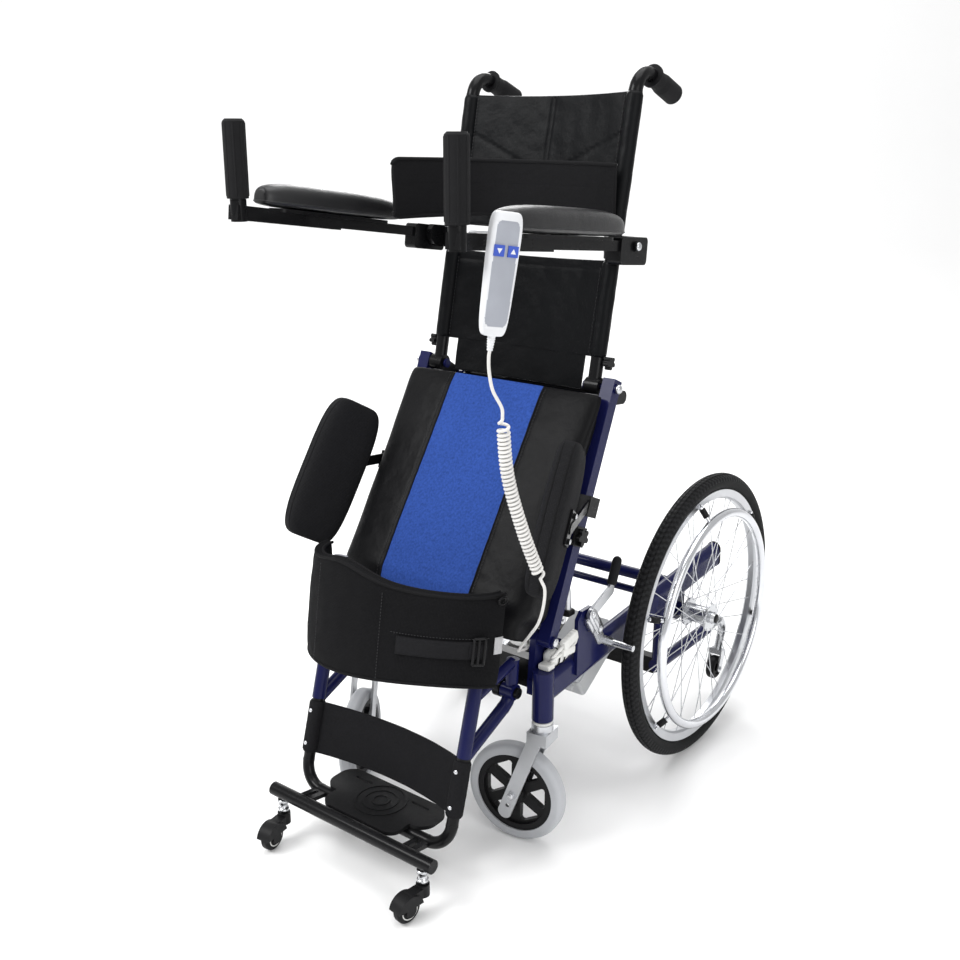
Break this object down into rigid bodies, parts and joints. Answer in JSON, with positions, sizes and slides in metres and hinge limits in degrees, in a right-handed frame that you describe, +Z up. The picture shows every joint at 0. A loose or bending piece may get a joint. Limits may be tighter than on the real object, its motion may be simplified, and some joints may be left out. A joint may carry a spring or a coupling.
{
  "type": "standing wheelchair",
  "caption": "Wheelchair that raises its user to standing, with spoked push wheels, casters, lift linkage, levelled backrest, flip-up arms, knee and thigh pads and a corded hand control.",
  "frame": {"origin": "on the floor, under the middle of the chair's bounding box", "axes": "-Y is the front of the chair, +X the user's left, +Z up"},
  "size_m": [0.641, 1.1583, 1.3979],
  "materials": {
    "frame_blue": "gloss indigo paint",
    "frame_black": "gloss black paint",
    "black_plastic": "moulded black",
    "box_grey": "pale grey paint",
    "wire_white": "soft white sheath",
    "bright_steel": "bright plated",
    "tyre_black": "grooved black tread",
    "rim_alloy": "polished",
    "handrim_chrome": "polished",
    "caster_grey": "smooth grey",
    "wheel_black": "smooth black",
    "seat_blue": "mesh cover with dark leather sides",
    "pad_fabric": "spacer mesh",
    "back_leather": "soft grained",
    "foam_black": "foam",
    "handset_grey": "pale grey with white edge",
    "button_blue": "blue"
  },
  "bodies": {
    "base": {"side_frame_left": "frame_blue", "side_frame_right": "frame_blue", "cross_beams": "frame_black", "frame_end_caps": "black_plastic", "control_box": "box_grey", "wiring_bundle": "wire_white", "anti_tip_tubes": "bright_steel", "cord_lower": "wire_white"},
    "seat": {"seat_frame": "frame_blue", "seat_cushion": "seat_blue", "thigh_pads": "pad_fabric", "pad_brackets": "frame_black", "cord_coil": "wire_white"},
    "backrest": {"backrest_frame": "frame_black", "push_grips": "foam_black", "back_upholstery": "back_leather", "chest_belt": "pad_fabric", "back_knobs": "black_plastic"},
    "back_links": {"back_links": "frame_blue"},
    "legs": {"leg_frame": "frame_blue", "footrest_frame": "frame_black", "footplate": "black_plastic", "calf_strap": "pad_fabric", "knee_pad": "pad_fabric"},
    "actuator": {"actuator_body": "black_plastic"},
    "actuator_rod": {"actuator_rod": "bright_steel"},
    "rear_wheel_left": {"rear_tyre_left": "tyre_black", "rear_rim_left": "rim_alloy", "rear_spokes_left": "bright_steel", "handrim_left": "handrim_chrome"},
    "caster_left": {"caster_fork_left": "bright_steel"},
    "caster_wheel_left": {"caster_tyre_left": "caster_grey", "caster_core_left": "black_plastic"},
    "anti_tip_wheel_left": {"anti_tip_wheel_left": "wheel_black"},
    "brake_lever_left": {"brake_lever_left": "black_plastic"},
    "brake_shoe_left": {"brake_shoe_left": "bright_steel"},
    "arm_left": {"arm_left": "frame_black", "arm_pad_left": "back_leather", "arm_grip_left": "foam_black", "handset": "handset_grey", "cord_upper": "wire_white"},
    "foot_caster_left": {"foot_caster_left": "black_plastic"},
    "foot_wheel_left": {"foot_wheel_left": "wheel_black"},
    "rear_wheel_right": {"rear_tyre_right": "tyre_black", "rear_rim_right": "rim_alloy", "rear_spokes_right": "bright_steel", "handrim_right": "handrim_chrome"},
    "caster_right": {"caster_fork_right": "bright_steel"},
    "caster_wheel_right": {"caster_tyre_right": "caster_grey", "caster_core_right": "black_plastic"},
    "anti_tip_wheel_right": {"anti_tip_wheel_right": "wheel_black"},
    "brake_lever_right": {"brake_lever_right": "black_plastic"},
    "brake_shoe_right": {"brake_shoe_right": "bright_steel"},
    "arm_right": {"arm_right": "frame_black", "arm_pad_right": "back_leather", "arm_grip_right": "foam_black"},
    "foot_caster_right": {"foot_caster_right": "black_plastic"},
    "foot_wheel_right": {"foot_wheel_right": "wheel_black"},
    "button_up": {"button_up": "button_blue"},
    "button_down": {"button_down": "button_blue"}
  },
  "joints": [
    {"name": "lift", "type": "hinge", "parent": "base", "child": "seat", "pos_m": [0, -0.21363, 0.41], "axis": [-1, 0, 0], "range_deg": [0, 58], "deforming": ["cord_upper", "cord_coil", "cord_lower"]},
    {"name": "back_level", "type": "hinge", "parent": "seat", "child": "backrest", "pos_m": [0, -0.02693, 0.83917], "axis": [-1, 0, 0], "range_deg": [-58, 0]},
    {"name": "back_link_swing", "type": "hinge", "parent": "base", "child": "back_links", "pos_m": [0, -0.15863, 0.375], "axis": [-1, 0, 0], "range_deg": [0, 58]},
    {"name": "leg_swing", "type": "hinge", "parent": "base", "child": "legs", "pos_m": [0, -0.27263, 0.322], "axis": [-1, 0, 0], "range_deg": [0, 15]},
    {"name": "actuator_tilt", "type": "hinge", "parent": "base", "child": "actuator", "pos_m": [-0.06, 0.17837, 0.196], "axis": [1, 0, 0], "range_deg": [0, 7.84]},
    {"name": "actuator_stroke", "type": "slide", "parent": "actuator", "child": "actuator_rod", "axis": [0, -0.7957, 0.6056], "range_m": [-0.04251, 0]},
    {"name": "rear_wheel_spin_left", "type": "hinge", "parent": "base", "child": "rear_wheel_left", "pos_m": [0.275, 0.27437, 0.305], "axis": [1, 0, 0], "continuous": true},
    {"name": "caster_swivel_left", "type": "hinge", "parent": "base", "child": "caster_left", "pos_m": [0.22, -0.22963, 0.262], "axis": [0, 0, 1], "continuous": true},
    {"name": "caster_spin_left", "type": "hinge", "parent": "caster_left", "child": "caster_wheel_left", "pos_m": [0.17049, -0.23659, 0.098], "axis": [0.1392, -0.9903, 0], "continuous": true},
    {"name": "anti_tip_spin_left", "type": "hinge", "parent": "base", "child": "anti_tip_wheel_left", "pos_m": [0.22, 0.48437, 0.082], "axis": [1, 0, 0], "continuous": true},
    {"name": "brake_lever_pull_left", "type": "hinge", "parent": "base", "child": "brake_lever_left", "pos_m": [0.249, -0.12063, 0.437], "axis": [1, 0, 0], "range_deg": [-28, 0]},
    {"name": "brake_shoe_swing_left", "type": "hinge", "parent": "base", "child": "brake_shoe_left", "pos_m": [0.2435, -0.09763, 0.404], "axis": [1, 0, 0], "range_deg": [-8.4, 0]},
    {"name": "arm_flip_left", "type": "hinge", "parent": "backrest", "child": "arm_left", "pos_m": [0.232, -0.00563, 1.09087], "axis": [-1, 0, 0], "range_deg": [0, 90]},
    {"name": "foot_caster_swivel_left", "type": "hinge", "parent": "legs", "child": "foot_caster_left", "pos_m": [0.172, -0.51363, 0.06], "axis": [0, 0, 1], "continuous": true},
    {"name": "foot_wheel_spin_left", "type": "hinge", "parent": "foot_caster_left", "child": "foot_wheel_left", "pos_m": [0.16685, -0.55027, 0.025], "axis": [0.9903, -0.1392, 0], "continuous": true},
    {"name": "rear_wheel_spin_right", "type": "hinge", "parent": "base", "child": "rear_wheel_right", "pos_m": [-0.275, 0.27437, 0.305], "axis": [1, 0, 0], "continuous": true},
    {"name": "caster_swivel_right", "type": "hinge", "parent": "base", "child": "caster_right", "pos_m": [-0.22, -0.22963, 0.262], "axis": [0, 0, 1], "continuous": true},
    {"name": "caster_spin_right", "type": "hinge", "parent": "caster_right", "child": "caster_wheel_right", "pos_m": [-0.19887, -0.27494, 0.098], "axis": [0.9063, 0.4226, 0], "continuous": true},
    {"name": "anti_tip_spin_right", "type": "hinge", "parent": "base", "child": "anti_tip_wheel_right", "pos_m": [-0.22, 0.48437, 0.082], "axis": [1, 0, 0], "continuous": true},
    {"name": "brake_lever_pull_right", "type": "hinge", "parent": "base", "child": "brake_lever_right", "pos_m": [-0.249, -0.12063, 0.437], "axis": [1, 0, 0], "range_deg": [-28, 0]},
    {"name": "brake_shoe_swing_right", "type": "hinge", "parent": "base", "child": "brake_shoe_right", "pos_m": [-0.2435, -0.09763, 0.404], "axis": [1, 0, 0], "range_deg": [-8.4, 0]},
    {"name": "arm_flip_right", "type": "hinge", "parent": "backrest", "child": "arm_right", "pos_m": [-0.232, -0.00563, 1.09087], "axis": [-1, 0, 0], "range_deg": [0, 90]},
    {"name": "foot_caster_swivel_right", "type": "hinge", "parent": "legs", "child": "foot_caster_right", "pos_m": [-0.172, -0.51363, 0.06], "axis": [0, 0, 1], "continuous": true},
    {"name": "foot_wheel_spin_right", "type": "hinge", "parent": "foot_caster_right", "child": "foot_wheel_right", "pos_m": [-0.16685, -0.55027, 0.025], "axis": [0.9903, 0.1392, 0], "continuous": true},
    {"name": "button_up_press", "type": "slide", "parent": "arm_left", "child": "button_up", "axis": [-0.8829, 0.4695, 0], "range_m": [0, 0.0012], "stiffness_N_per_m": 600, "springref_m": -0.0004},
    {"name": "button_down_press", "type": "slide", "parent": "arm_left", "child": "button_down", "axis": [-0.8829, 0.4695, 0], "range_m": [0, 0.0012], "stiffness_N_per_m": 600, "springref_m": -0.0004}
  ],
  "couplings": [
    {"joint": "back_level", "follows": "lift", "ratio": -1},
    {"joint": "back_link_swing", "follows": "lift", "ratio": 1},
    {"joint": "leg_swing", "follows": "lift", "ratio": 0.25862},
    {"joint": "actuator_tilt", "follows": "lift", "ratio": 0.13509},
    {"joint": "actuator_stroke", "follows": "lift", "m_per_rad": -0.041988},
    {"joint": "brake_shoe_swing_left", "follows": "brake_lever_pull_left", "ratio": 0.3},
    {"joint": "brake_shoe_swing_right", "follows": "brake_lever_pull_right", "ratio": 0.3}
  ]
}
